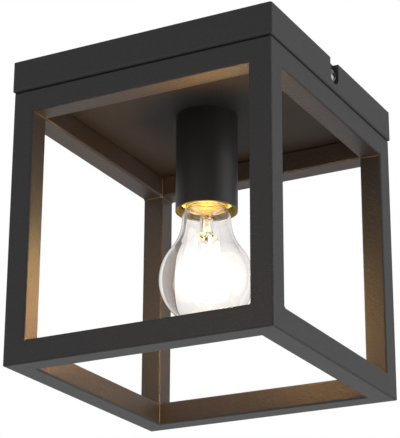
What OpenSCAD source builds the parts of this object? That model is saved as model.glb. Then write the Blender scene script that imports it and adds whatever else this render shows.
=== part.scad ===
// Square open cage ceiling lantern. Ceiling plane at z = 0, lamp hanging down, front towards -Y.
// All sizes in millimetres.

/* [Overall] */
// Outside width of the square cage
cage_w = 180; // [140:5:260]
// Drop from the ceiling to the underside of the cage
lamp_h = 200; // [180:5:300]

/* [Cage tube] */
// Outside width of the square steel tube
tube_w = 15; // [12:1:22]
// Wall thickness of the tube
tube_wall = 1.2; // [1:0.1:2]
// Radius on the long edges of the tube
tube_edge_r = 1.5; // [1.3:0.1:3]

/* [Canopy] */
// How far the canopy stands proud of the cage on each side
canopy_over = 1; // [0.5:0.5:4]
// Height of the canopy
canopy_h = 21; // [20:1:30]
// Thickness of the canopy sheet
sheet_t = 1.2; // [1:0.1:1.6]
// Outside radius of the folded bottom edge
fold_r = 2; // [1.8:0.1:3]
// Outside radius of the upright corners
corner_r = 1.5; // [1.5:0.1:2.4]

/* [Side fixing] */
// Depth of the side screws below the ceiling
screw_drop = 10; // [9:0.5:11]
// Thread diameter of the side screws
screw_d = 4; // [3:0.5:4]
// Length of the side screws under the head
screw_len = 10; // [9:1:16]
// Head diameter of the side screws
head_d = 8; // [7:0.5:8.5]
// Head height of the side screws
head_h = 2.6; // [2:0.1:3]
// Outside diameter of the washer under each side screw
washer_d = 9; // [8.6:0.1:10]
// Thickness of the washer under each side screw
washer_t = 0.8; // [0.5:0.1:1]
// Gap between the washer and the side of the pressed pocket
pocket_gap = 1.5; // [1:0.1:2]
// How far the screw head sits behind the face of the canopy
head_recess = 0.2; // [0:0.1:1]

/* [Ceiling bracket] */
// Width of the bracket strap
strap_w = 22; // [18:1:30]
// Thickness of the bracket strap
strap_t = 2; // [1.5:0.1:2.5]
// Height of the turned-down tabs
tab_h = 17; // [15:0.5:17.5]
// Inside radius of the bends
bend_r = 2; // [1:0.5:3]
// Distance between the two ceiling screw slots
slot_pitch = 110; // [90:5:120]
// Width of a ceiling screw slot
slot_w = 5; // [4:0.5:6]
// Length of a ceiling screw slot, end to end
slot_len = 24; // [12:1:30]
// Diameter of the hole for the house cable
cable_hole_d = 16; // [10:1:18]

/* [Lampholder cover] */
// Outside diameter of the cover tube
cup_d = 40; // [39:0.5:60]
// Length of the cover tube below the canopy
cup_len = 65; // [65:1:75]
// Wall thickness of the cover tube
cup_wall = 1.2; // [0.8:0.1:1.4]

/* [Lampholder] */
// Diameter of the ceramic lampholder body
holder_d = 34.4; // [34:0.1:34.6]
// How far the lampholder face sits inside the mouth of the cover tube
holder_in = 6; // [4:0.5:6]
// Depth of the socket from its face to the contact floor
socket_depth = 25; // [25:0.5:26]
// Thickness of the ceramic floor above the socket
floor_t = 9; // [9:0.5:10]
// Inside diameter of the threaded socket shell
shell_d = 26.1; // [26:0.02:26.2]
// Sheet thickness of the socket shell
shell_t = 0.5; // [0.4:0.1:0.6]
// Drop of the spring contact below the socket floor
contact_drop = 2; // [1.5:0.1:2.5]
// Outside diameter of the hollow threaded nipple
nipple_d = 10; // [10:0.1:10.4]
// Bore of the nipple
nipple_bore = 7.8; // [7.4:0.1:8]
// Thickness of the nipple nuts
nut_t = 3; // [2.5:0.1:3.2]
// Width of the nipple nuts across the flats
nut_flats = 14; // [14:0.5:15]

/* [Bulb] */
// Diameter of the globe
bulb_d = 60; // [58:0.5:61]
// Length of the bulb from the contact tip to the bottom of the globe
bulb_len = 105; // [104:1:112]
// Diameter of the glass neck
neck_d = 31.2; // [30.4:0.2:32.4]
// Radius of the hollow curve between neck and globe
neck_fillet_r = 36; // [24:1:38]
// Thickness of the glass
glass_t = 0.8; // [0.6:0.1:1]
// Length of the metal cap including the tip
cap_len = 27; // [26:0.5:28]

/* [Wiring] */
// Diameter of an insulated wire
wire_d = 2.2; // [1.8:0.1:2.4]
// Diameter of the bare copper core
core_d = 1; // [0.8:0.1:1.2]
// Distance between the poles of the terminal block
pole_pitch = 9.5; // [9.5:0.1:10]
// Length of the terminal block along the wires
block_l = 18; // [17:0.5:20]
// Height of the terminal block
block_h = 12.5; // [12:0.1:13]

/* [Clearances] */
// Radial clearance between a screw and its threaded hole
thread_gap = 0.05; // [0.03:0.01:0.08]
// Radial clearance between parts pressed or slipped together
seat_gap = 0.05; // [0.03:0.01:0.08]
// Radial clearance between the bulb cap and the socket shell
cap_gap = 0.08; // [0.05:0.01:0.1]
// Radial clearance round a screw in a plain hole
hole_gap = 0.3; // [0.25:0.05:0.4]

/* [Hidden] */
$fn = 96;
// overshoot of every cutting shape
cut = 1;

half = cage_w / 2;
tube_mid = half - tube_w / 2;
canopy_half = half + canopy_over;
plate_low = -canopy_h;
plate_top = plate_low + sheet_t;
cage_low = -lamp_h;

// pan heads: bevel on the top edge, and the cross recess as shares of the head's size
bevel_h = 0.5;
bevel_in = 0.8;
recess_reach = 0.28;
recess_half = 0.06;
recess_floor = 0.4;

// pressed pocket and side screws, measured outwards along X
pocket_r = washer_d / 2 + pocket_gap;
pocket_depth = head_recess + head_h + washer_t;
pocket_floor = canopy_half - pocket_depth;
tab_face = pocket_floor - sheet_t;
head_seat = pocket_floor + washer_t;

// screws that hold the cage to the canopy
cage_screw_share = 0.6;
cage_screw_x = half * cage_screw_share;
cage_screw_len = 8;

// lampholder levels
cup_low = plate_low - cup_len;
cup_top_t = cup_wall;
face_z = cup_low + holder_in;
floor_z = face_z + socket_depth;
holder_top = floor_z + floor_t;
shell_r = shell_d / 2;
shell_out = shell_r + shell_t;
contact_z = floor_z - contact_drop;
contact_t = 0.5;
flange_w = 1.45;
flange_in = shell_r - flange_w;
// how far the shell stays behind the face of the body
shell_back = 1.5;

// spring contact: flat pad at the bulb, slope beside it and width of the strip
pad_half = 4;
slope_run = 3;
contact_w = 5;
tail_gap = 0.4;

// bridge that carries the lampholder on the nipple
bridge_t = 1.5;
bridge_w = 12;
bridge_h = 12;
bridge_top = holder_top + bridge_h;
bridge_leg = 9;
bridge_foot = 16;
bridge_screw_y = 12.5;
bridge_screw_len = 7;
nipple_low = bridge_top - bridge_t - 1.5;
washer_ring_t = 1;
washer_ring_over = 4;
nipple_top = plate_top + washer_ring_t + nut_t + 1.2;

// small screws with a 3 mm thread
small_d = 2.5;
small_head_d = 5;
small_head_h = 2;

// terminals on the ceramic body
terminal_h = 7;
terminal_l = 6;
terminal_w = 7;
live_x = 9.5;
neutral_x = -12.4;
live_pin_d = 3;
neutral_pin_d = 1.8;
terminal_wire_rise = 3.5;
terminal_wire_z = holder_top + terminal_wire_rise;
// gap between a clamping screw and the copper under it
core_gap = 0.1;

// wires
wire_r = wire_d / 2;
wire_x = 1.7;
wire_bend = 2.3;
side_bend = 4;
wire_z = nipple_top + wire_r + 0.7;
core_hole_d = core_d + 2 * hole_gap;
core_in = 4;
core_play = 0.5;

// terminal block beside the nipple
block_x = -34;
block_w = 3 * pole_pitch;
block_face = block_x + block_l / 2;
clamp_d = 5.1;
clamp_bore = 2.6;
clamp_in = 1.5;
clamp_l = block_l - 2 * clamp_in;
block_top = plate_top + block_h;
block_hole_d = 4.4;
block_head_d = 3.8;
block_head_h = 1.2;
block_seat_gap = 0.6;
// relief slots between the poles: share of the length, where they sit, width and depth
relief_share = 0.28;
relief_place = 0.36;
relief_w = 1.4;
relief_depth = 2.5;
block_stud_d = 3;
block_stud_y = pole_pitch / 2;
block_nut_t = 2.4;
block_nut_flats = 5.5;
// length of a stud beyond its nut
stud_over = 0.5;

// earth post and ring lug
earth_x = 16;
earth_y = pole_pitch;
post_d = 7;
post_thread_d = 4;
lug_t = 0.8;
lug_ring_d = 8;
lug_barrel_l = 6;
lug_wall = 0.7;
lug_overlap = 0.5;
lug_stop = 1;
earth_nut_t = 3.2;
earth_nut_flats = 7;
lug_low = wire_z - lug_t / 2;
barrel_end = earth_x - lug_ring_d / 2;

// bulb levels
tip_z = contact_z;
tip_h = 1;
tip_d = 9.2;
globe_r = bulb_d / 2;
neck_r = neck_d / 2;
globe_z = tip_z - bulb_len + globe_r;
blend_rise = sqrt(pow(globe_r + neck_fillet_r, 2) - pow(neck_r + neck_fillet_r, 2));
blend_z = globe_z + blend_rise;
cap_r = shell_r - cap_gap;
cap_t = 0.4;
cap_low = tip_z - cap_len;
cap_chamfer = 0.8;
skirt_out = 0.33;
skirt_r = cap_r + skirt_out;
skirt_h = 3.4;
skirt_step = 0.4;
plug_h = 5.6;
cap_roof = tip_z - plug_h;
plug_r = 10.2;
plug_shoulder = 0.6;
plug_rim_h = 1.5;
disc_over = 1.3;
disc_t = 1;
cement_gap = 0.1;
glass_in_cap_r = cap_r - cap_t - cement_gap;
shoulder_h = 3.5;
shoulder_z = cap_low - shoulder_h;
glass_grip = 4;
glass_top = cap_low + glass_grip;

// light inside the bulb
stem_rim_r = glass_in_cap_r - glass_t - seat_gap;
stem_r = 2.6;
stem_wall = 1;
stem_floor = 1.5;
flare_h = 8;
pinch_h = 4;
stem_neck_z = cap_low - flare_h;
stem_top = stem_neck_z - pinch_h;
pillar_r = 1.3;
pillar_reach = 14;
pillar_low = globe_z - pillar_reach;
led_d = 1.8;
led_len = 38;
led_count = 4;
led_drop = 8;
led_top = stem_top - led_drop;
led_turn = 45;
led_spread = 7;
led_lean = 4;
support_d = 0.6;
// gap between the end of a light stick and the wire that carries it
led_gap = 0.15;
// gap between a wire and the pillar, and how far the upper wires pass the sticks
wire_gap = 0.1;
wire_over = 0.4;

// Rounded square, centred
module soft_square(w, h, r) {
    square([w - 2 * r, h], center = true);
    square([w, h - 2 * r], center = true);
    for (x = [-1, 1], y = [-1, 1])
        translate([x * (w / 2 - r), y * (h / 2 - r)])
            circle(r = r);
}

// Hollow of the square tube
module tube_hollow() {
    soft_square(tube_w - 2 * tube_wall, tube_w - 2 * tube_wall, max(0.2, tube_edge_r - tube_wall));
}

// Hexagon prism that stands on z = 0
module hex_bar(flats, height) {
    intersection() {
        for_side(0, flats, height);
        for_side(60, flats, height);
        for_side(120, flats, height);
    }
}

// One pair of flats of the hexagon
module for_side(turn, flats, height) {
    rotate([0, 0, turn])
        translate([-flats, -flats / 2, 0])
            cube([2 * flats, flats, height]);
}

// Pan head screw with its seat at z = 0, head up and a cross recess
module pan_screw(thread, head, height, length) {
    difference() {
        union() {
            cylinder(h = height - bevel_h, d = head);
            translate([0, 0, height - bevel_h])
                cylinder(h = bevel_h, d1 = head, d2 = head - 2 * bevel_in);
            translate([0, 0, -length])
                cylinder(h = length, d = thread);
        }
        for (turn = [0, 90])
            rotate([0, 0, turn])
                translate([-head * recess_reach, -head * recess_half, height * recess_floor])
                    cube([2 * head * recess_reach, 2 * head * recess_half, height]);
    }
}

// Straight length of round wire along +X
module wire_run(length, d) {
    rotate([0, 90, 0])
        cylinder(h = length, d = d);
}

// Quarter turn of round wire: starts at the origin along +X and ends at [bend, 0, -bend] pointing down
module wire_turn(bend, d) {
    translate([0, 0, -bend])
        rotate([90, 0, 0])
            rotate_extrude(angle = 90)
                translate([bend, 0])
                    circle(d = d);
}

// One rail of the square frame at the -Y side. post_side is 1 where the posts stand on it, -1 where they hang
module front_rail(post_side) {
    intersection() {
        difference() {
            union() {
                rotate([90, 0, 90])
                    linear_extrude(height = cage_w, center = true)
                        soft_square(tube_w, tube_w, tube_edge_r);
                for (end = [-1, 1])
                    translate([end * tube_mid, 0, post_side * tube_w / 4])
                        cube([tube_w, tube_w, tube_w / 2], center = true);
            }
            rotate([90, 0, 90])
                linear_extrude(height = cage_w + 2 * cut, center = true)
                    tube_hollow();
        }
        // mitred ends
        translate([0, tube_mid, -tube_w])
            linear_extrude(height = 2 * tube_w)
                polygon([[-half, -half], [half, -half],
                         [half - tube_w, tube_w - half], [tube_w - half, tube_w - half]]);
        // upright corners ground round
        translate([0, tube_mid, -tube_w])
            linear_extrude(height = 2 * tube_w)
                soft_square(cage_w, cage_w, tube_edge_r);
    }
}

// A top rail turned to its side of the cage, with holes for the canopy screws where asked
module top_rail(turn, screwed) {
    color([0.13, 0.13, 0.14])
        rotate([0, 0, turn])
            difference() {
                translate([0, -tube_mid, plate_low - tube_w / 2])
                    front_rail(-1);
                if (screwed)
                    for (x = [-1, 1])
                        translate([x * cage_screw_x, -tube_mid, plate_low - tube_w / 2])
                            cylinder(h = tube_w, d = screw_d + 2 * thread_gap);
            }
}

// A bottom rail turned to its side of the cage
module bottom_rail(turn) {
    color([0.13, 0.13, 0.14])
        rotate([0, 0, turn])
            translate([0, -tube_mid, cage_low + tube_w / 2])
                front_rail(1);
}

// A corner post between the two frames
module post(x_side, y_side) {
    color([0.13, 0.13, 0.14])
        translate([x_side * tube_mid, y_side * tube_mid, cage_low + tube_w])
            linear_extrude(height = lamp_h - canopy_h - 2 * tube_w)
                difference() {
                    soft_square(tube_w, tube_w, tube_edge_r);
                    tube_hollow();
                }
}

// Rectangle that hangs from y = top to y = -depth with round lower corners
module hanging_rect(side, depth, r, top) {
    translate([-side, r - depth])
        square([2 * side, depth - r + top]);
    translate([r - side, -depth])
        square([2 * (side - r), depth + top]);
    for (x = [-1, 1])
        translate([x * (side - r), r - depth])
            circle(r = r);
}

// Block with round lower edges and upright corners
module pan_block(side, depth, r, upright_r, top) {
    intersection() {
        rotate([90, 0, 0])
            linear_extrude(height = 2 * side + 2 * cut, center = true)
                hanging_rect(side, depth, r, top);
        rotate([90, 0, 90])
            linear_extrude(height = 2 * side + 2 * cut, center = true)
                hanging_rect(side, depth, r, top);
        translate([0, 0, -depth - cut])
            linear_extrude(height = depth + top + 2 * cut)
                soft_square(2 * side, 2 * side, upright_r);
    }
}

// Upright U with its round end at the side screw, open upwards
module screw_u(r, top) {
    translate([0, -screw_drop])
        circle(r = r);
    translate([-r, -screw_drop])
        square([2 * r, screw_drop + top]);
}

// Prism of the U that starts at x = start and runs outwards
module u_prism(start, length, r, top) {
    translate([start, 0, 0])
        rotate([90, 0, 90])
            linear_extrude(height = length)
                screw_u(r, top);
}

// Folded sheet canopy, open at the top, with a pressed pocket for the screw in two opposite walls
module canopy() {
    inner = canopy_half - sheet_t;
    color([0.13, 0.13, 0.14])
        difference() {
            union() {
                difference() {
                    pan_block(canopy_half, canopy_h, fold_r, corner_r, 0);
                    pan_block(inner, canopy_h - sheet_t, fold_r - sheet_t, corner_r - sheet_t, cut);
                }
                for (turn = [0, 180])
                    rotate([0, 0, turn])
                        u_prism(tab_face, inner + sheet_t / 2 - tab_face, pocket_r + sheet_t, 0);
            }
            for (turn = [0, 180])
                rotate([0, 0, turn]) {
                    u_prism(pocket_floor, pocket_depth + cut, pocket_r, cut);
                    u_prism(tab_face - cut, pocket_depth + cut, screw_d / 2 + hole_gap, cut);
                }
            translate([0, 0, plate_low - cut])
                cylinder(h = sheet_t + 2 * cut, d = nipple_d + 2 * seat_gap);
            for (x = [-1, 1], y = [-1, 1])
                translate([x * cage_screw_x, y * tube_mid, plate_low - cut])
                    cylinder(h = sheet_t + 2 * cut, d = screw_d + 2 * hole_gap);
        }
}

// Bracket: flat strap on the ceiling with a tab turned down at each end
module ceiling_bracket() {
    outer_bend = bend_r + strap_t;
    color([0.72, 0.73, 0.75])
        difference() {
            rotate([90, 0, 0])
                linear_extrude(height = strap_w, center = true) {
                    translate([outer_bend - tab_face, -strap_t])
                        square([2 * (tab_face - outer_bend), strap_t]);
                    for (side = [0, 1])
                        mirror([side, 0]) {
                            translate([tab_face - strap_t, -tab_h])
                                square([strap_t, tab_h - outer_bend]);
                            translate([tab_face - outer_bend, -outer_bend])
                                intersection() {
                                    difference() {
                                        circle(r = outer_bend);
                                        circle(r = bend_r);
                                    }
                                    square(outer_bend);
                                }
                        }
                }
            for (side = [-1, 1]) {
                for (end = [-1, 1])
                    translate([side * slot_pitch / 2 + end * (slot_len - slot_w) / 2, 0, -strap_t - cut])
                        cylinder(h = strap_t + 2 * cut, d = slot_w);
                translate([side * slot_pitch / 2, 0, -strap_t / 2])
                    cube([slot_len - slot_w, slot_w, strap_t + 2 * cut], center = true);
            }
            translate([0, 0, -strap_t - cut])
                cylinder(h = strap_t + 2 * cut, d = cable_hole_d);
            for (turn = [0, 180])
                rotate([0, 0, turn])
                    translate([tab_face - strap_t - cut, 0, -screw_drop])
                        rotate([0, 90, 0])
                            cylinder(h = strap_t + 2 * cut, d = screw_d + 2 * thread_gap);
        }
}

// Side screw, at the +X side when turn is 0
module side_screw(turn) {
    color([0.8, 0.8, 0.82])
        rotate([0, 0, turn])
            translate([head_seat, 0, -screw_drop])
                rotate([0, 90, 0])
                    pan_screw(screw_d, head_d, head_h, screw_len);
}

// Washer under a side screw
module side_washer(turn) {
    color([0.72, 0.72, 0.74])
        rotate([0, 0, turn])
            translate([pocket_floor, 0, -screw_drop])
                rotate([0, 90, 0])
                    difference() {
                        cylinder(h = washer_t, d = washer_d);
                        translate([0, 0, -cut])
                            cylinder(h = washer_t + 2 * cut, d = screw_d + 2 * seat_gap);
                    }
}

// Four screws through the canopy plate into the front and back top rails
module cage_screws() {
    color([0.8, 0.8, 0.82])
        for (x = [-1, 1], y = [-1, 1])
            translate([x * cage_screw_x, y * tube_mid, plate_top])
                pan_screw(screw_d, head_d, head_h, cage_screw_len);
}

// Cover tube closed at the top
module lampholder_cup() {
    color([0.1, 0.1, 0.11])
        difference() {
            translate([0, 0, cup_low])
                cylinder(h = cup_len, d = cup_d);
            translate([0, 0, cup_low - cut])
                cylinder(h = cup_len - cup_top_t + cut, d = cup_d - 2 * cup_wall);
            translate([0, 0, plate_low - cup_top_t - cut])
                cylinder(h = cup_top_t + 2 * cut, d = nipple_d + 2 * seat_gap);
        }
}

// Hollow threaded tube that clamps cover and lampholder to the canopy
module nipple() {
    color([0.78, 0.74, 0.6])
        translate([0, 0, nipple_low])
            difference() {
                cylinder(h = nipple_top - nipple_low, d = nipple_d);
                translate([0, 0, -cut])
                    cylinder(h = nipple_top - nipple_low + 2 * cut, d = nipple_bore);
            }
}

// One nut above the canopy plate and one below the top of the cover
module nipple_nuts() {
    color([0.75, 0.75, 0.77])
        for (z = [plate_top + washer_ring_t, plate_low - cup_top_t - nut_t])
            translate([0, 0, z])
                difference() {
                    hex_bar(nut_flats, nut_t);
                    translate([0, 0, -cut])
                        cylinder(h = nut_t + 2 * cut, d = nipple_d + 2 * thread_gap);
                }
}

// Washer under the upper nut
module nipple_washer() {
    color([0.7, 0.7, 0.72])
        translate([0, 0, plate_top])
            difference() {
                cylinder(h = washer_ring_t, d = nut_flats + washer_ring_over);
                translate([0, 0, -cut])
                    cylinder(h = washer_ring_t + 2 * cut, d = nipple_d + 2 * seat_gap);
            }
}

// Hat shaped bridge screwed to the ceramic body and threaded on the nipple
module holder_bridge() {
    color([0.72, 0.73, 0.75])
        difference() {
            rotate([90, 0, 90])
                linear_extrude(height = bridge_w, center = true) {
                    translate([-bridge_leg, bridge_top - bridge_t])
                        square([2 * bridge_leg, bridge_t]);
                    for (side = [0, 1])
                        mirror([side, 0]) {
                            translate([bridge_leg - bridge_t, holder_top])
                                square([bridge_t, bridge_h]);
                            translate([bridge_leg - bridge_t, holder_top])
                                square([bridge_foot - bridge_leg + bridge_t, bridge_t]);
                        }
                }
            translate([0, 0, bridge_top - bridge_t - cut])
                cylinder(h = bridge_t + 2 * cut, d = nipple_d + 2 * thread_gap);
            for (side = [-1, 1])
                translate([0, side * bridge_screw_y, holder_top - cut])
                    cylinder(h = bridge_t + 2 * cut, d = small_d + 2 * hole_gap);
        }
}

// Two screws from the bridge into the ceramic body
module bridge_screws() {
    color([0.8, 0.8, 0.82])
        for (side = [-1, 1])
            translate([0, side * bridge_screw_y, holder_top + bridge_t])
                pan_screw(small_d, small_head_d, small_head_h, bridge_screw_len);
}

// Ceramic lampholder body
module lampholder_body() {
    color([0.93, 0.92, 0.88])
        difference() {
            translate([0, 0, face_z])
                cylinder(h = holder_top - face_z, d = holder_d);
            translate([0, 0, face_z - cut])
                cylinder(h = socket_depth + cut, r = shell_out + seat_gap);
            translate([live_x, 0, floor_z - cut])
                cylinder(h = floor_t + 2 * cut, d = live_pin_d + 2 * seat_gap);
            translate([neutral_x, 0, floor_z - cut])
                cylinder(h = floor_t + 2 * cut, d = neutral_pin_d + 2 * seat_gap);
            for (side = [-1, 1])
                translate([0, side * bridge_screw_y, holder_top - bridge_screw_len])
                    cylinder(h = bridge_screw_len + cut, d = small_d + 2 * thread_gap);
        }
}

// Threaded metal shell of the socket, flanged at the floor
module socket_shell() {
    color([0.83, 0.76, 0.5])
        difference() {
            translate([0, 0, face_z + shell_back])
                cylinder(h = socket_depth - shell_back, r = shell_out);
            translate([0, 0, face_z])
                cylinder(h = socket_depth - shell_t, r = shell_r);
            translate([0, 0, floor_z - 2 * shell_t])
                cylinder(h = 3 * shell_t, r = flange_in);
        }
}

// Sprung strip that meets the tip of the bulb
module centre_contact() {
    tail = flange_in - tail_gap;
    // the strip keeps its thickness where it bends
    bend = contact_t * 0.4;
    color([0.85, 0.65, 0.3])
        rotate([90, 0, 0])
            linear_extrude(height = contact_w, center = true)
                polygon([[tail, floor_z], [tail, floor_z - contact_t],
                         [pad_half + slope_run + bend, floor_z - contact_t], [pad_half, contact_z],
                         [-pad_half, contact_z], [-pad_half, contact_z + contact_t],
                         [pad_half - bend, contact_z + contact_t], [pad_half + slope_run, floor_z]]);
}

// Brass terminal on the ceramic body with its pin down to the socket
module holder_terminal(x, pin_d) {
    side = x > 0 ? 1 : -1;
    color([0.85, 0.68, 0.34])
        difference() {
            union() {
                translate([x - terminal_l / 2, -terminal_w / 2, holder_top])
                    cube([terminal_l, terminal_w, terminal_h]);
                translate([x, 0, floor_z])
                    cylinder(h = floor_t + cut, d = pin_d);
            }
            translate([x, 0, terminal_wire_z])
                cylinder(h = terminal_h, d = small_d + 2 * thread_gap);
            translate([x - side * (terminal_l / 2 + cut), 0, terminal_wire_z])
                rotate([0, side * 90, 0])
                    cylinder(h = core_in + core_play + cut, d = core_hole_d);
        }
}

// Screws of the two lampholder terminals
module terminal_screws() {
    color([0.8, 0.8, 0.82])
        for (x = [live_x, neutral_x])
            translate([x, 0, holder_top + terminal_h])
                pan_screw(small_d, small_head_d, small_head_h,
                          terminal_h - terminal_wire_rise - core_d / 2 - core_gap);
}

// Three pole terminal block of white nylon
module terminal_block() {
    color([0.92, 0.92, 0.9])
        difference() {
            translate([block_x - block_l / 2, -block_w / 2, plate_top])
                cube([block_l, block_w, block_h]);
            for (pole = [-1, 0, 1]) {
                translate([block_x - block_l / 2 - cut, pole * pole_pitch, wire_z])
                    wire_run(block_l + 2 * cut, clamp_d + 2 * seat_gap);
                for (end = [-1, 1])
                    translate([block_x + end * block_l / 4, pole * pole_pitch, wire_z])
                        cylinder(h = block_h, d = block_hole_d);
            }
            for (gap = [-0.5, 0.5])
                for (end = [-1, 1])
                    translate([block_x + end * block_l * relief_place, gap * pole_pitch, block_top])
                        cube([block_l * relief_share + cut, relief_w, 2 * relief_depth], center = true);
            translate([block_x, block_stud_y, plate_top - cut])
                cylinder(h = block_h + 2 * cut, d = block_stud_d + 2 * hole_gap);
        }
}

// Brass clamping tubes inside the terminal block
module block_clamps() {
    color([0.85, 0.68, 0.34])
        for (pole = [-1, 0, 1])
            difference() {
                translate([block_x - clamp_l / 2, pole * pole_pitch, wire_z])
                    wire_run(clamp_l, clamp_d);
                translate([block_x - clamp_l / 2 - cut, pole * pole_pitch, wire_z])
                    wire_run(clamp_l + 2 * cut, clamp_bore);
                for (end = [-1, 1])
                    translate([block_x + end * block_l / 4, pole * pole_pitch, wire_z])
                        cylinder(h = clamp_d, d = small_d + 2 * thread_gap);
            }
}

// Clamping screws of the terminal block
module block_screws() {
    seat = wire_z + clamp_d / 2 + block_seat_gap;
    color([0.8, 0.8, 0.82])
        for (pole = [-1, 0, 1], end = [-1, 1])
            translate([block_x + end * block_l / 4, pole * pole_pitch, seat])
                pan_screw(small_d, block_head_d, block_head_h, seat - wire_z - core_d / 2 - core_gap);
}

// Threaded studs welded to the canopy plate: one for the terminal block and the stepped earth post
module plate_studs() {
    color([0.76, 0.72, 0.62]) {
        translate([block_x, block_stud_y, plate_top])
            cylinder(h = block_h + block_nut_t + stud_over, d = block_stud_d);
        translate([earth_x, earth_y, plate_top]) {
            cylinder(h = lug_low - plate_top, d = post_d);
            cylinder(h = lug_low - plate_top + lug_t + earth_nut_t + stud_over, d = post_thread_d);
        }
    }
}

// Nut on the stud of the terminal block
module block_nut() {
    color([0.75, 0.75, 0.77])
        translate([block_x, block_stud_y, block_top])
            difference() {
                hex_bar(block_nut_flats, block_nut_t);
                translate([0, 0, -cut])
                    cylinder(h = block_nut_t + 2 * cut, d = block_stud_d + 2 * thread_gap);
            }
}

// Nut on the earth post
module earth_nut() {
    color([0.75, 0.75, 0.77])
        translate([earth_x, earth_y, lug_low + lug_t])
            difference() {
                hex_bar(earth_nut_flats, earth_nut_t);
                translate([0, 0, -cut])
                    cylinder(h = earth_nut_t + 2 * cut, d = post_thread_d + 2 * thread_gap);
            }
}

// Ring lug crimped on the earth wire
module earth_lug() {
    barrel_out = wire_d + 2 * seat_gap + 2 * lug_wall;
    color([0.8, 0.8, 0.78])
        difference() {
            union() {
                translate([earth_x, earth_y, lug_low])
                    cylinder(h = lug_t, d = lug_ring_d);
                translate([barrel_end - lug_barrel_l, earth_y, wire_z])
                    wire_run(lug_barrel_l, barrel_out);
                translate([barrel_end - lug_overlap, earth_y - barrel_out / 2, lug_low])
                    cube([lug_ring_d / 4 + lug_overlap, barrel_out, lug_t]);
            }
            translate([barrel_end - lug_barrel_l - cut, earth_y, wire_z])
                wire_run(lug_barrel_l - lug_stop + cut, wire_d + 2 * seat_gap);
            translate([earth_x, earth_y, lug_low - cut])
                cylinder(h = lug_t + 2 * cut, d = post_thread_d + 2 * seat_gap);
        }
}

// Live wire from the terminal block through the nipple to the lampholder
module live_wire() {
    color([0.45, 0.26, 0.15]) {
        translate([block_face, -pole_pitch, wire_z])
            wire_run(wire_x - side_bend - block_face, wire_d);
        translate([block_face - core_in, -pole_pitch, wire_z])
            wire_run(core_in, core_d);
        translate([wire_x - side_bend, side_bend - pole_pitch, wire_z])
            rotate([0, 0, -90])
                rotate_extrude(angle = 90)
                    translate([side_bend, 0])
                        circle(d = wire_d);
        translate([wire_x, side_bend - pole_pitch, wire_z])
            rotate([0, 0, 90])
                wire_run(pole_pitch - side_bend - wire_bend, wire_d);
        translate([wire_x, -wire_bend, wire_z])
            rotate([0, 0, 90])
                wire_turn(wire_bend, wire_d);
        wire_drop(1, live_x);
    }
}

// Neutral wire from the terminal block through the nipple to the lampholder
module neutral_wire() {
    color([0.15, 0.3, 0.62]) {
        translate([block_face, 0, wire_z])
            wire_run(-wire_x - wire_bend - block_face, wire_d);
        translate([block_face - core_in, 0, wire_z])
            wire_run(core_in, core_d);
        translate([-wire_x - wire_bend, 0, wire_z])
            wire_turn(wire_bend, wire_d);
        wire_drop(-1, neutral_x);
    }
}

// Lower half of a wire: down the nipple, then out to the terminal at x
module wire_drop(side, x) {
    start = wire_z - wire_bend;
    end = terminal_wire_z + wire_bend;
    run = abs(x) - terminal_l / 2 - wire_x - wire_bend;
    translate([side * wire_x, 0, end])
        cylinder(h = start - end, d = wire_d);
    mirror([side > 0 ? 0 : 1, 0, 0]) {
        translate([wire_x + wire_bend, 0, end])
            rotate([90, 0, 0])
                rotate([0, 0, 180])
                    rotate_extrude(angle = 90)
                        translate([wire_bend, 0])
                            circle(d = wire_d);
        translate([wire_x + wire_bend, 0, terminal_wire_z])
            wire_run(run, wire_d);
        translate([wire_x + wire_bend + run, 0, terminal_wire_z])
            wire_run(core_in, core_d);
    }
}

// Earth wire from the terminal block to the ring lug
module earth_wire() {
    color([0.35, 0.55, 0.2]) {
        translate([block_face, pole_pitch, wire_z])
            wire_run(barrel_end - lug_stop - core_play - block_face, wire_d);
        translate([block_face - core_in, pole_pitch, wire_z])
            wire_run(core_in, core_d);
    }
}

// Solder tip of the bulb
module contact_tip() {
    color([0.75, 0.75, 0.76])
        translate([0, 0, tip_z - tip_h])
            cylinder(h = tip_h, d = tip_d);
}

// Dark glass insulator between tip and cap
module cap_insulator() {
    color([0.08, 0.08, 0.09])
        rotate_extrude()
            polygon([[0, tip_z - tip_h], [tip_d / 2 + plug_shoulder, tip_z - tip_h],
                     [plug_r, cap_roof + plug_rim_h], [plug_r, cap_roof - cap_t],
                     [plug_r + disc_over, cap_roof - cap_t], [plug_r + disc_over, cap_roof - cap_t - disc_t],
                     [0, cap_roof - cap_t - disc_t]]);
}

// Metal screw cap of the bulb
module bulb_cap() {
    color([0.82, 0.82, 0.8])
        rotate_extrude()
            polygon([[plug_r + seat_gap, cap_roof], [cap_r - cap_chamfer, cap_roof],
                     [cap_r, cap_roof - cap_chamfer], [cap_r, cap_low + skirt_h + skirt_step],
                     [skirt_r, cap_low + skirt_h], [skirt_r, cap_low], [skirt_r - cap_t, cap_low],
                     [skirt_r - cap_t, cap_low + skirt_h], [cap_r - cap_t, cap_low + skirt_h + skirt_step],
                     [cap_r - cap_t, cap_roof - cap_chamfer - cap_t / 2],
                     [cap_r - cap_chamfer - cap_t / 2, cap_roof - cap_t],
                     [plug_r + seat_gap, cap_roof - cap_t]]);
}

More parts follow.
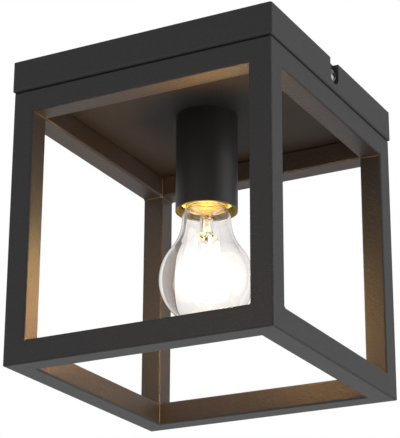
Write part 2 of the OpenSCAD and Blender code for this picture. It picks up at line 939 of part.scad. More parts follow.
// Half section of the bulb, taken inwards by inset
module bulb_half(inset) {
    r = globe_r - inset;
    neck = neck_r - inset;
    fillet = neck_fillet_r + inset;
    in_cap = glass_in_cap_r - inset;
    // the hollow is cut out through the top of the neck
    open_top = glass_top + (inset > 0 ? cut : 0);
    // share of the line between the two arc centres that lies in the globe
    share = globe_r / (globe_r + neck_fillet_r);
    intersection() {
        union() {
            translate([0, globe_z])
                circle(r = r);
            difference() {
                polygon([[0, globe_z], [share * (neck_r + neck_fillet_r), globe_z + share * blend_rise],
                         [neck_r + neck_fillet_r, blend_z], [0, blend_z]]);
                translate([neck_r + neck_fillet_r, blend_z])
                    circle(r = fillet);
            }
            polygon([[0, blend_z], [neck, blend_z], [neck, shoulder_z], [in_cap, cap_low],
                     [in_cap, open_top], [0, open_top]]);
        }
        translate([0, globe_z - 2 * globe_r])
            square([2 * globe_r, 6 * globe_r]);
    }
}

// Clear glass envelope
module bulb_glass() {
    color([0.9, 0.95, 1, 0.3])
        rotate_extrude()
            difference() {
                bulb_half(0);
                bulb_half(glass_t);
            }
}

// Glass stem: flare sealed into the neck, short tube and thin pillar
module glass_stem() {
    color([0.9, 0.95, 1, 0.4])
        rotate_extrude()
            polygon([[0, stem_neck_z + stem_floor], [stem_r - stem_wall, stem_neck_z + stem_floor],
                     [stem_rim_r - stem_wall, cap_low], [stem_rim_r - stem_wall, cap_low + stem_floor],
                     [stem_rim_r, cap_low + stem_floor], [stem_rim_r, cap_low], [stem_r, stem_neck_z],
                     [stem_r, stem_top], [pillar_r, stem_top - stem_floor], [pillar_r, pillar_low],
                     [0, pillar_low]]);
}

// Light sticks leaning outwards round the pillar
module led_filaments() {
    color([1, 0.82, 0.45])
        for (k = [0:led_count - 1])
            rotate([0, 0, led_turn + k * 360 / led_count])
                translate([led_spread, 0, led_top])
                    rotate([0, 180 - led_lean, 0])
                        cylinder(h = led_len, d = led_d);
}

// Fine wires that carry the light sticks: one pair at the stem and a four armed star at the pillar
module filament_wires() {
    reach = led_spread + led_len * sin(led_lean);
    low = led_top - led_len * cos(led_lean) - support_d / 2 - led_gap;
    color([0.6, 0.6, 0.62])
        for (k = [0:led_count - 1])
            rotate([0, 0, led_turn + k * 360 / led_count]) {
                translate([pillar_r + wire_gap, 0, low])
                    wire_run(reach - pillar_r, support_d);
                translate([pillar_r + wire_gap, 0, led_top + support_d / 2 + led_gap])
                    wire_run(led_spread - pillar_r + wire_over, support_d);
            }
}

ceiling_bracket();
canopy();
top_rail(0, true);  // top_rail_front
top_rail(90, false);  // top_rail_right
top_rail(180, true);  // top_rail_back
top_rail(270, false);  // top_rail_left
bottom_rail(0);  // bottom_rail_front
bottom_rail(90);  // bottom_rail_right
bottom_rail(180);  // bottom_rail_back
bottom_rail(270);  // bottom_rail_left
post(-1, -1);  // post_front_left
post(1, -1);  // post_front_right
post(-1, 1);  // post_back_left
post(1, 1);  // post_back_right
side_screw(0);  // side_screw_right
side_screw(180);  // side_screw_left
side_washer(0);  // side_washer_right
side_washer(180);  // side_washer_left
cage_screws();
lampholder_cup();
nipple();
nipple_nuts();
nipple_washer();
holder_bridge();
bridge_screws();
lampholder_body();
socket_shell();
centre_contact();
holder_terminal(live_x, live_pin_d);  // live_terminal
holder_terminal(neutral_x, neutral_pin_d);  // neutral_terminal
terminal_screws();
terminal_block();
block_clamps();
block_screws();
plate_studs();
block_nut();
earth_nut();
earth_lug();
live_wire();
neutral_wire();
earth_wire();
contact_tip();
cap_insulator();
bulb_cap();
bulb_glass();
glass_stem();
led_filaments();
filament_wires();
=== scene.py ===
import bpy
import math
import numpy as np
from mathutils import Matrix, Vector


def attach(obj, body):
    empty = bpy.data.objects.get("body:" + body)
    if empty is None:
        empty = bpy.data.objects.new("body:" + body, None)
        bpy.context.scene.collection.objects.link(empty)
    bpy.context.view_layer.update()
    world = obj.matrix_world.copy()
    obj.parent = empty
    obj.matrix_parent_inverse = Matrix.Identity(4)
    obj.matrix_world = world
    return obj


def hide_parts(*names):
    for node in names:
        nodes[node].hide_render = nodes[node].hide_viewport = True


# Ceiling lantern: open tube cage, folded canopy, round lampholder cover and a clear bulb.
# Origin on the ceiling, Z up, front at -Y. Shapes are worked out in millimetres and stored in metres.
# Materials work in metres, as their Object coordinates do.
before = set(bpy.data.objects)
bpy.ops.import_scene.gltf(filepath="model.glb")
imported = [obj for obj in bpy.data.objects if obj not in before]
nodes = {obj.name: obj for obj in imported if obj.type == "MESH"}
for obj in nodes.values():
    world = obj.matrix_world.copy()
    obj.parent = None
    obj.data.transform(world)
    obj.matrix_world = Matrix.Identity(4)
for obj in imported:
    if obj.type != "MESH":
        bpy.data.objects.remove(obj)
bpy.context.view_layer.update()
mm = 0.001
fullTurn = 2 * math.pi
print("frame loaded:", len(nodes), "nodes")


# camera fitted to the photograph: angles in degrees, focal length in pixels of its longer side
cameraSet = {"place": (495.7, -933.8, -493.0), "yaw": 28.19, "pitch": 20.81, "roll": 0.29,
             "focalPixels": 1775.4, "longSide": 438, "nearest": 20.0}


def linked(name, data):
    # a new object in the scene
    made = bpy.data.objects.new(name, data)
    bpy.context.scene.collection.objects.link(made)
    return made


def makeCamera(c):
    # looks along yaw and pitch, with its right and up directions turned about that line by roll
    yaw, pitch, roll = (math.radians(c[k]) for k in ("yaw", "pitch", "roll"))
    forward = Vector((-math.sin(yaw) * math.cos(pitch), math.cos(yaw) * math.cos(pitch), math.sin(pitch)))
    level = Vector((math.cos(yaw), math.sin(yaw), 0))
    upright = level.cross(forward)
    right = level * math.cos(roll) + upright * math.sin(roll)
    up = upright * math.cos(roll) - level * math.sin(roll)
    data = bpy.data.cameras.new("photoCamera")
    data.lens = data.sensor_width * c["focalPixels"] / c["longSide"]
    data.clip_start = c["nearest"] * mm
    camera = linked("photoCamera", data)
    turn = Matrix((right, up, -forward)).transposed().to_4x4()
    camera.matrix_world = Matrix.Translation(Vector(c["place"]) * mm) @ turn
    bpy.context.scene.camera = camera


makeCamera(cameraSet)
bpy.context.scene.view_settings.view_transform = "Standard"
print("camera placed")


class Signal:
    # one socket of a shader: Python's operators on it add Math nodes
    def __init__(self, finish, socket):
        self.finish, self.socket = finish, socket

    def join(self, operation, first, second=0.0):
        return self.finish.node("Math", {"operation": operation}, {0: first, 1: second})

    def __add__(self, other):
        return self.join("ADD", self, other)

    def __sub__(self, other):
        return self.join("SUBTRACT", self, other)

    def __rsub__(self, other):
        return self.join("SUBTRACT", other, self)

    def __mul__(self, other):
        return self.join("MULTIPLY", self, other)

    def __truediv__(self, other):
        return self.join("DIVIDE", self, other)

    def __pow__(self, other):
        return self.join("POWER", self, other)

    def __lt__(self, other):
        return self.join("LESS_THAN", self, other)

    def size(self):
        return self.join("ABSOLUTE", self)

    def larger(self, other):
        return self.join("MAXIMUM", self, other)

    def folded(self, span):
        # runs up to the span and back down again, over and over
        return self.join("PINGPONG", self, span)

    def clipped(self):
        return self.finish.node("Clamp", {}, {"Value": self})

    __radd__ = __add__
    __rmul__ = __mul__


class Finish:
    # a material or world under construction: node() adds any node and returns one of its outputs
    def __init__(self, name, world=None):
        self.owner = world or bpy.data.materials.new(name)
        self.kind = "World" if world else "Material"
        self.owner.use_nodes = True
        self.tree = self.owner.node_tree
        self.tree.nodes.clear()

    def node(self, kind, settings=None, sockets=None, output=0):
        made = self.tree.nodes.new("ShaderNode" + kind)
        for key, value in (settings or {}).items():
            setattr(made, key, value)
        for key, value in (sockets or {}).items():
            if isinstance(value, Signal):
                self.tree.links.new(value.socket, made.inputs[key])
            else:
                made.inputs[key].default_value = value
        return Signal(self, made.outputs[output])

    def place(self, scale=(1, 1, 1), centre=(0, 0, 0)):
        # object coordinates about a centre, stretched
        coords = self.node("TexCoord", output="Object")
        moved = self.node("VectorMath", {"operation": "SUBTRACT"}, {0: coords, 1: centre})
        return self.node("VectorMath", {"operation": "MULTIPLY"}, {0: moved, 1: scale})

    def axis(self, vector, letter):
        return self.node("SeparateXYZ", {}, {0: vector}, letter)

    def noise(self, where, scale, detail=2.0, rough=0.5):
        sockets = {"Vector": where, "Scale": scale, "Detail": detail, "Roughness": rough}
        return self.node("TexNoise", {}, sockets, "Fac")

    def blend(self, share, first, second):
        # a colour between two tuples or links: the Mix node's colours are inputs 6 and 7 and output 2
        whole = [(*c, 1) if isinstance(c, tuple) else c for c in (first, second)]
        return self.node("Mix", {"data_type": "RGBA"}, {0: share, 6: whole[0], 7: whole[1]}, 2)

    def bump(self, height, distance, strength=1.0):
        return self.node("Bump", {}, {"Height": height, "Distance": distance, "Strength": strength})

    def surface(self, sockets):
        return self.close(self.node("BsdfPrincipled", {}, sockets))

    def close(self, shader):
        out = self.tree.nodes.new("ShaderNodeOutput" + self.kind)
        self.tree.links.new(shader.socket, out.inputs["Surface"])
        return self.owner


# white to the eye and through glass, softer as light
airSet = {"colour": (1, 1, 1), "seen": 1.0, "light": 0.45}


def makeAir(a):
    air = Finish("studioAir", bpy.data.worlds.new("studioAir"))
    eye = air.node("LightPath", output="Is Camera Ray")
    through = air.node("LightPath", output="Is Transmission Ray")
    strength = eye.larger(through) * (a["seen"] - a["light"]) + a["light"]
    sky = air.node("Background", {}, {"Color": (*a["colour"], 1), "Strength": strength})
    bpy.context.scene.world = air.close(sky)


# white panels around the lamp, which all face its middle
softboxes = {"sideSoftbox": {"place": (1500, 400, -300), "size": (1400, 1400), "watts": 14},
             "floorSoftbox": {"place": (-600, 900, -1500), "size": (1400, 1400), "watts": 4.8},
             "frontSoftbox": {"place": (-900, -1700, -300), "size": (1200, 1200), "watts": 2.0}}
softboxTarget = (0, 0, -100)
# light of the bulb: upright strips back to back, so little of it goes up into the cover; watts by direction
stripSet = {"size": (12.0, 34.0), "height": -131.0, "out": 3, "aim": 90, "colour": (1.0, 0.47, 0.13),
            "watts": {(1, 0): 0.15, (0, 1): 0.13, (-1, 0): 0.33, (0, -1): 0.225}}
# glow in the mouth of the lampholder cover, and a warm bloom on the rail in front of the bulb
mouthSet = {"place": (0, 0, -97), "size": 4, "watts": 0.12, "colour": (1.0, 0.74, 0.18)}
bloomSet = {"place": (60, -190, -185), "size": 40, "watts": 0.15, "colour": (1, 0.62, 0.4)}


def addLamp(name, place, size, watts, colour=(1, 1, 1), target=None, unseen=()):
    # a panel of a width and height that faces its target, or a ball of light where there is no target
    data = bpy.data.lights.new(name, "AREA" if target else "POINT")
    data.energy, data.color = watts, colour
    lamp = linked(name, data)
    lamp.location = Vector(place) * mm
    if target:
        data.shape, data.size, data.size_y = "RECTANGLE", size[0] * mm, size[1] * mm
        lamp.rotation_euler = (Vector(target) - Vector(place)).to_track_quat("-Z", "Y").to_euler()
    else:
        data.shadow_soft_size = size * mm
    for ray in unseen:
        setattr(lamp, "visible_" + ray, False)


def addLamps():
    for name, box in softboxes.items():
        addLamp(name, target=softboxTarget, **box)
    s = stripSet
    hidden = ("camera", "transmission")
    for number, ((x, y), watts) in enumerate(s["watts"].items()):
        place, target = ((reach * x, reach * y, s["height"]) for reach in (s["out"], s["aim"]))
        addLamp(f"bulbLight{number}", place, s["size"], watts, s["colour"], target, hidden)
    addLamp("mouthGlow", unseen=hidden, **mouthSet)
    addLamp("bloomFill", unseen=(*hidden, "glossy"), **bloomSet)


makeAir(airSet)
addLamps()
print("light placed")


onAxis = 1e-9  # a point nearer to the axis than this is a pole


def asPoints(x, y, z):
    # three numbers or arrays that broadcast together, stacked as points
    return np.stack(np.broadcast_arrays(x, y, z), -1).astype(float)


def around(count):
    # equal angles round a full turn, the first at 0
    return np.arange(count) * fullTurn / count


def ringed(r, t, z):
    # points at radius r, angle t and height z: (r cos t, r sin t, z)
    return asPoints(r * np.cos(t), r * np.sin(t), z)


def skin(rows, wrapRows=False, wrapColumns=True, startPole=None, endPole=None):
    # quads between neighbouring rows of points; a pole closes the first or last row with triangles
    m, n = rows.shape[:2]
    points = [rows.reshape(-1, 3)]
    i = np.arange(m if wrapRows else m - 1)[:, None]
    j = np.arange(n if wrapColumns else n - 1)[None, :]
    a, b = i * n + j, i * n + (j + 1) % n
    c, d = (i + 1) % m * n + (j + 1) % n, (i + 1) % m * n + j
    faces = np.stack(np.broadcast_arrays(a, b, c, d), -1).reshape(-1, 4).tolist()
    now = np.arange(n)
    after = (now + 1) % n
    count = m * n
    if startPole is not None:
        points.append(np.array([startPole], float))
        faces += np.stack([after, now, np.full(n, count)], -1).tolist()
        count += 1
    if endPole is not None:
        points.append(np.array([endPole], float))
        last = (m - 1) * n
        faces += np.stack([last + now, last + after, np.full(n, count)], -1).tolist()
    return np.concatenate(points), faces


def enclosed(points, faces):
    # signed volume: the sum of the tetrahedra from the origin to each face
    total = 0.0
    for size in (3, 4):
        some = np.array([f for f in faces if len(f) == size])
        if len(some):
            for k in range(1, size - 1):
                p, q, r = points[some[:, 0]], points[some[:, k]], points[some[:, k + 1]]
                total += np.einsum("ij,ij->i", p, np.cross(q, r)).sum() / 6
    return total


def outward(points, faces):
    # faces turned over where the shell encloses less than nothing
    return points, ([f[::-1] for f in faces] if enclosed(points, faces) < 0 else faces)


def makePiece(name, parts, coats, body, replaced, sharp=35.0):
    # parts: (points, faces, number of its coat), each a closed shell, in millimetres
    allPoints, allFaces, marks, count = [], [], [], 0
    for points, faces, mark in parts:
        points, faces = outward(points, faces)
        allPoints.append(points)
        allFaces += [[k + count for k in f] for f in faces]
        marks += [mark] * len(faces)
        count += len(points)
    mesh = bpy.data.meshes.new(name)
    mesh.from_pydata((np.concatenate(allPoints) * mm).tolist(), [], allFaces)
    for coat in coats:
        mesh.materials.append(finishes[coat])
    mesh.polygons.foreach_set("material_index", marks)
    mesh.polygons.foreach_set("use_smooth", [True] * len(marks))
    mesh.set_sharp_from_angle(angle=math.radians(sharp))
    mesh.validate()
    mesh.update()
    piece = linked(name, mesh)
    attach(piece, body)
    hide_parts(replaced)


def turned(profile, steps):
    # the profile's radius and height carried round Z, from pole to pole
    profile = np.array(profile, float)
    wall = profile[profile[:, 0] > onAxis]
    rows = ringed(wall[:, :1], around(steps), wall[:, 1:])
    return skin(rows, startPole=(0, 0, profile[0, 1]), endPole=(0, 0, profile[-1, 1]))


def turnTo(part, axis, place):
    # Z of the part goes to the unit axis, and its origin to the place
    turn = np.array(Vector((0, 0, 1)).rotation_difference(Vector(axis)).to_matrix())
    return part[0] @ turn.T + np.array(place, float), part[1]


def roundedPath(corners, bend, steps):
    # straight runs, each corner c rounded to (1 - u)^2 p + 2 u (1 - u) c + u^2 q, p and q one bend from it
    corners = np.array(corners, float)
    u = np.linspace(0, 1, steps)[:, None]
    pieces = [corners[:1]]
    for before, c, after in zip(corners[:-2], corners[1:-1], corners[2:]):
        p = c + (before - c) / np.linalg.norm(before - c) * bend
        q = c + (after - c) / np.linalg.norm(after - c) * bend
        pieces.append((1 - u) ** 2 * p + 2 * u * (1 - u) * c + u ** 2 * q)
    pieces.append(corners[-1:])
    return np.concatenate(pieces)


def swept(path, radius, steps):
    # a circle carried along the path: centre + radius (cos t side + sin t up), its ends closed flat
    slant = (0.31, 0.52, 0.795)  # side is square to this direction, along which no wire runs
    path = np.array(path, float)
    along = np.gradient(path, axis=0)
    along /= np.linalg.norm(along, axis=1, keepdims=True)
    side = np.cross(along, slant)
    side /= np.linalg.norm(side, axis=1, keepdims=True)
    up = np.cross(along, side)
    t = around(steps)[:, None]
    rows = path[:, None] + radius * (np.cos(t) * side[:, None] + np.sin(t) * up[:, None])
    return skin(rows, startPole=path[0], endPole=path[-1])


# wires inside the lamp, here because the earth wire's stripes follow it: level from the terminal block, then
# two of them down through the nipple
wireSet = {"radius": 1.1, "core": 0.5, "bare": 4.0, "overlap": 0.5, "bend": 2.3, "block": -25, "rows": 9.5,
           "apart": 1.7, "level": -12.8, "low": -42.5, "liveEnd": 6.5, "neutralEnd": -9.4, "earthEnd": 10.5,
           "bendPoints": 10, "steps": 20, "coreSteps": 12}


coatSet = {"colour": (0.0245, 0.0245, 0.026), "grain": 700.0, "depth": 0.00045, "smooth": 0.29, "rough": 0.16,
           "slow": 45.0, "slowShare": 0.25, "slowRough": 0.08,
           "fleck": (0.07, 0.055, 0.04), "fleckGrain": 1.7, "fleckFrom": 0.6, "fleckGain": 6.0,
           # darker colour and added roughness of the painted shade inside the cup and under the canopy
           "thin": (0.014, 0.013, 0.012), "shadeRough": 0.28,
           # pale colour of the weld lines, partly filler and partly painted highlight, then their width, rise
           # and reach
           "seamAndHighlight": (0.17, 0.145, 0.12), "seamSharp": 2600.0, "seamRise": 0.6, "seamReach": 0.0893}
# the cup's copy of the coat: smoother, and with a darker colour, darker flecks and a darker shaded part, all
# painted shade
smoothShadedCupCoat = {**coatSet, "colour": (0.018, 0.0175, 0.0172), "grain": 900.0, "depth": 0.0001,
           "fleck": (0.03, 0.026, 0.022), "thin": (0.006, 0.005, 0.004), "shadeRough": 0.5}
canopyCoat = {**coatSet, "grain": 900.0, "depth": 0.0002}
# middle and half height of the posts; just inside the cup's outer face; just above the canopy's underside
coatPlaces = {"postMiddle": -0.1105, "postHalf": 0.0745, "cup": 0.0199, "plate": -0.0206}


def postEnds(x, y, z):
    # distance from the level of a post's nearer end
    return ((z - coatPlaces["postMiddle"]).size() - coatPlaces["postHalf"]).size()


def mitres(x, y, z):
    # distance from the upright planes at 45 degrees in which the rails meet
    return (x.size() - y.size()).size()


def insideCup(x, y, z):
    # 1 nearer to the axis than the cup's outer face, where the cup gets its painted shade
    return (x * x + y * y) < coatPlaces["cup"] ** 2


def underPlate(x, y, z):
    # 1 on the underside of the canopy's plate and below it, where the canopy gets its painted shade
    return z < coatPlaces["plate"]


def powderCoat(name, c, seamAndHighlight=None, shadedPart=None):
    # satin black powder coat: fine pitted grain, a few bronze flecks and slow changes of sheen
    f = Finish(name)
    where = f.place()
    x, y, z = (f.axis(where, letter) for letter in "XYZ")
    fine = f.noise(where, c["grain"], 3.0, 0.6)
    slow = f.noise(where, c["slow"], 2.0)
    fleck = f.noise(where, c["grain"] * c["fleckGrain"], 1.0)
    colour = f.blend((fleck - c["fleckFrom"]) * c["fleckGain"], c["colour"], c["fleck"])
    height = fine * (1 - c["slowShare"]) + slow * c["slowShare"]
    roughness = fine * c["rough"] + slow * c["slowRough"] + c["smooth"]
    if seamAndHighlight:
        # a raised weld line whose pale colour is partly the weld's filler and partly a painted highlight of
        # the light its edges catch; kept off the outer faces, which are ground flush
        inner = x.size().larger(y.size()) < c["seamReach"]
        beadAndHighlight = (1.0 - (seamAndHighlight(x, y, z) * c["seamSharp"]).clipped()) * inner
        colour = f.blend(beadAndHighlight, colour, c["seamAndHighlight"])
        height = height + beadAndHighlight * c["seamRise"]
    if shadedPart:
        # painted shade: a darker colour, and a duller coat, on the part of the piece that the mask picks out,
        # where shade falls
        thin = shadedPart(x, y, z)
        colour = f.blend(thin, colour, c["thin"])
        roughness = roughness + thin * c["shadeRough"]
    return f.surface({"Base Color": colour, "Roughness": roughness, "Normal": f.bump(height, c["depth"])})


metalSet = {"grain": (900.0, 900.0, 900.0), "cloud": 70.0, "dull": 0.18, "drawn": 0.1,
            "depth": 0.00002, "bump": 0.6}


def plainMetal(name, colour, tint, roughness, grain=metalSet["grain"]):
    # plated metal: fine drawn grain, cloudy tint and patches of dullness
    f = Finish(name)
    m = metalSet
    fine = f.noise(f.place(grain), 1.0, 3.0)
    cloud = f.noise(f.place(), m["cloud"], 3.0)
    return f.surface({"Base Color": f.blend(cloud, colour, tint), "Metallic": 1.0,
                      "Roughness": cloud * m["dull"] + fine * m["drawn"] + roughness,
                      "Normal": f.bump(fine, m["depth"], m["bump"])})


# cloud and peel are shares of the scale
mouldedSet = {"scale": 260.0, "depth": 0.00003, "cloud": 0.25, "peel": 3.0, "dull": 0.12, "bump": 0.5,
              # colours of the painted glow
              "glowColour": (1.0, 0.75, 0.05), "glowTint": (1.0, 0.8, 0.1)}
ceramicSet = {**mouldedSet, "scale": 200.0, "depth": 0.00004}
blackGlassSet = {**mouldedSet, "scale": 200.0}


def mouldedFinish(name, colour, tint, roughness, m=mouldedSet, coat=0.0, glow=0.0):
    # moulded or glazed finish: cloudy tint and a faint orange-peel skin; a glow above 0 is painted light, an
    # emission that stands for lamp light falling on the surface
    f = Finish(name)
    where = f.place()
    cloud = f.noise(where, m["scale"] * m["cloud"], 3.0)
    peel = f.noise(where, m["scale"] * m["peel"], 2.0)
    made = f.surface({"Base Color": f.blend(cloud, colour, tint), "Roughness": peel * m["dull"] + roughness,
                      "Coat Weight": coat, "Normal": f.bump(peel, m["depth"], m["bump"]),
                      # emission: painted light, used where glow is above 0
                      "Emission Color": f.blend(cloud, m["glowColour"], m["glowTint"]),
                      "Emission Strength": glow})
    made.cycles.emission_sampling = "NONE"
    return made


# across: the unit direction (y, z) on which a point's distance from the middle of the stripes is measured
earthSet = {"green": (0.05, 0.2, 0.035), "yellow": (0.8, 0.6, 0.03), "across": (0.8, 0.6), "half": 0.00042,
            "grain": 1200.0, "dull": 0.1, "rough": 0.35, "depth": 0.00002, "bump": 0.5}


def earthInsulation(name, e, w):
    # green insulation with two yellow stripes along the wire
    f = Finish(name)
    where = f.place(centre=(0, w["rows"] * mm, w["level"] * mm))
    y, z = f.axis(where, "Y"), f.axis(where, "Z")
    stripe = (y * e["across"][0] + z * e["across"][1]).size() < e["half"]
    grain = f.noise(where, e["grain"], 2.0)
    return f.surface({"Base Color": f.blend(stripe, e["green"], e["yellow"]),
                      "Roughness": grain * e["dull"] + e["rough"],
                      "Normal": f.bump(grain, e["depth"], e["bump"])})


glassSet = {"tint": (0.985, 0.975, 0.968), "bend": 1.5, "shadow": (0.97, 0.97, 0.97),
            "ripple": 55.0, "depth": 0.0004, "bump": 0.25, "glow": 0.28, "glowColour": (1.0, 0.9, 0.74),
            "glowHeight": -0.13, "glowReach": 0.024, "narrow": 9.0}


def clearGlass(name, g):
    # clear glass that lets light through, with a bloom of the lit sticks that fades up, down and at the rims
    f = Finish(name)
    where = f.place()
    ripple = f.bump(f.noise(where, g["ripple"], 1.0), g["depth"], g["bump"])
    glass = f.node("BsdfGlass", {}, {"Color": (*g["tint"], 1), "Roughness": 0.0, "IOR": g["bend"],
                                     "Normal": ripple})
    facing = 1.0 - f.node("LayerWeight", {}, {"Blend": 0.5}, "Facing")
    far = (f.axis(where, "Z") - g["glowHeight"]) / g["glowReach"]
    band = (1.0 - far * far).clipped()
    glow = f.node("Emission", {}, {"Color": (*g["glowColour"], 1), "Strength": g["glow"]})
    none = f.node("Emission", {}, {"Strength": 0.0})
    bloom = f.node("MixShader", {}, {0: band * facing ** g["narrow"], 1: none, 2: glow})
    seen = f.node("AddShader", {}, {0: glass, 1: bloom})
    clear = f.node("BsdfTransparent", {}, {"Color": (*g["shadow"], 1)})
    shadow = f.node("LightPath", output="Is Shadow Ray")
    made = f.close(f.node("MixShader", {}, {0: shadow, 1: seen, 2: clear}))
    made.cycles.emission_sampling = "NONE"
    return made


phosphorSet = {"glow": 28.0, "bright": (1.0, 0.78, 0.45), "between": (0.98, 0.6, 0.2), "chip": 0.00135,
               "unlit": (0.85, 0.55, 0.08), "grain": 900.0, "dull": 0.2, "rough": 0.4}


def stickFinish(name, s):
    # phosphor coating, lit from inside: bright over each chip and a little darker between
    f = Finish(name)
    where = f.place()
    chip = f.axis(where, "Z") / s["chip"]
    grain = f.noise(where, s["grain"])
    made = f.surface({"Base Color": (*s["unlit"], 1), "Roughness": grain * s["dull"] + s["rough"],
                      "Emission Color": f.blend(chip.folded(0.5) * 2.0, s["between"], s["bright"]),
                      "Emission Strength": s["glow"]})
    made.cycles.emission_sampling = "NONE"
    return made


finishes = {
    "black_powder_coat": powderCoat("blackPowderCoat", coatSet, seamAndHighlight=postEnds),
    "mitred": powderCoat("blackPowderCoatMitred", coatSet, seamAndHighlight=mitres),
    "shadedCup": powderCoat("blackPowderCoatCup", smoothShadedCupCoat, shadedPart=insideCup),
    "shadedCanopy": powderCoat("blackPowderCoatCanopy", canopyCoat, shadedPart=underPlate),
    "zinc_plated_sheet":
        plainMetal("zincPlatedSheet", (0.52, 0.53, 0.55), (0.62, 0.63, 0.66), 0.28, (60.0, 1500.0, 1500.0)),
    "bright_zinc_hardware": plainMetal("brightZinc", (0.66, 0.67, 0.69), (0.75, 0.75, 0.78), 0.16),
    # side screws read dark in the photo: a darker copy of the bright zinc as painted shade, keeping small
    # bright glints
    "shadedZinc": plainMetal("shadedZinc", (0.2, 0.2, 0.205), (0.27, 0.27, 0.275), 0.08),
    "yellow_passivated_steel": plainMetal("yellowPassivated", (0.62, 0.52, 0.24), (0.68, 0.56, 0.42), 0.24),
    "brass": plainMetal("brass", (0.78, 0.58, 0.24), (0.86, 0.68, 0.34), 0.2),
    "tinned_copper": plainMetal("tinnedCopper", (0.66, 0.64, 0.61), (0.74, 0.72, 0.7), 0.3),
    "bareCopper":
        plainMetal("bareCopper", (0.82, 0.4, 0.22), (0.9, 0.52, 0.33), 0.26, (400.0, 400.0, 3000.0)),
    # the ceramic's face glows a little: painted light standing for the bulb's warm light on it
    "glazed_ceramic":
        mouldedFinish("glazedCeramic", (0.8, 0.74, 0.42), (0.86, 0.8, 0.5), 0.12, ceramicSet, 0.6, glow=0.4),
    "white_nylon": mouldedFinish("whiteNylon", (0.78, 0.78, 0.74), (0.84, 0.84, 0.81), 0.42),
    "brown_insulation": mouldedFinish("brownInsulation", (0.13, 0.045, 0.02), (0.17, 0.065, 0.03), 0.36),
    "blue_insulation": mouldedFinish("blueInsulation", (0.02, 0.09, 0.36), (0.035, 0.12, 0.44), 0.36),
    "green_yellow_insulation": earthInsulation("greenYellowInsulation", earthSet, wireSet),
    "black_glass":
        mouldedFinish("blackGlass", (0.012, 0.012, 0.016), (0.02, 0.02, 0.026), 0.08, blackGlassSet, 0.8),
    "nickel_cap":
        plainMetal("nickelCap", (0.8, 0.68, 0.34), (0.88, 0.76, 0.42), 0.24, (900.0, 900.0, 2600.0)),
    "clear_glass": clearGlass("clearGlass", glassSet),
    "led_phosphor": stickFinish("ledPhosphor", phosphorSet),
    "nickel_wire": plainMetal("nickelWire", (0.55, 0.55, 0.55), (0.66, 0.65, 0.63), 0.24),
}

# the finish of each CAD node; those that get more detail below are dressed too
dressed = {
    "zinc_plated_sheet": ["ceiling_bracket", "holder_bridge"],
    "shadedCup": ["lampholder_cup"],
    "shadedCanopy": ["canopy"],
    "black_powder_coat": ["post_front_left", "post_front_right", "post_back_left", "post_back_right"],
    "mitred": ["top_rail_front", "top_rail_right", "top_rail_back", "top_rail_left",
               "bottom_rail_front", "bottom_rail_right", "bottom_rail_back", "bottom_rail_left"],
    "bright_zinc_hardware": ["side_screw_right", "side_screw_left", "side_washer_right", "side_washer_left",
                             "cage_screws", "nipple_nuts", "nipple_washer", "bridge_screws",
                             "terminal_screws", "block_screws", "block_nut", "earth_nut"],
    "yellow_passivated_steel": ["nipple", "plate_studs"],
    "brass": ["socket_shell", "centre_contact", "live_terminal", "neutral_terminal", "block_clamps"],
    "tinned_copper": ["earth_lug", "contact_tip"],
    "glazed_ceramic": ["lampholder_body"],
    "white_nylon": ["terminal_block"],
    "brown_insulation": ["live_wire"],
    "blue_insulation": ["neutral_wire"],
    "green_yellow_insulation": ["earth_wire"],
    "black_glass": ["cap_insulator"],
    "nickel_cap": ["bulb_cap"],
    "clear_glass": ["bulb_glass", "glass_stem"],
    "led_phosphor": ["led_filaments"],
    "nickel_wire": ["filament_wires"],
}


def dressNodes(table):
    for coat, names in table.items():
        for name in names:
            materials = nodes[name].data.materials
            materials.clear()
            materials.append(finishes[coat])


dressNodes(dressed)
print("finishes on:", sum(len(names) for names in dressed.values()), "CAD nodes")


# pieces with more detail than their CAD shapes, from here on

# rows to a turn, length of the fade in turns, and how deep the plain ends are as a share of the thread
threadSet = {"perTurn": 8, "fade": 0.5, "plain": 0.6}


def threadWave(z, t, pitch):
    # right-handed thread: 0 on the crest and 1 at the root, (1 - cos(2 pi z / pitch - t)) / 2
    return 0.5 - 0.5 * np.cos(fullTurn * z / pitch - t)


def screwThread(radius, low, high, pitch, depth, steps):
    # r = radius - depth wave, faded to a plain rod over the last half turn at each end
    s = threadSet
    z = np.linspace(low, high, max(int((high - low) / pitch * s["perTurn"]), 2))[:, None]
    t = around(steps)[None, :]
    fade = np.clip(np.minimum(z - low, high - z) / (s["fade"] * pitch), 0, 1)
    r = radius - depth * (fade * threadWave(z, t, pitch) + (1 - fade) * s["plain"])
    return ringed(r, t, z)


# shares of half the head's width; the dome, the rim and the recess's depth are shares of its height
headSet = {"recessReach": 0.6, "recessHalf": 0.15, "recessDepth": 0.62, "recessRise": 0.45, "wall": 0.05,
           "dome": 0.38, "domePower": 3.2, "rim": 0.06, "under": 0.97, "wallPoints": 5, "outerPoints": 7}


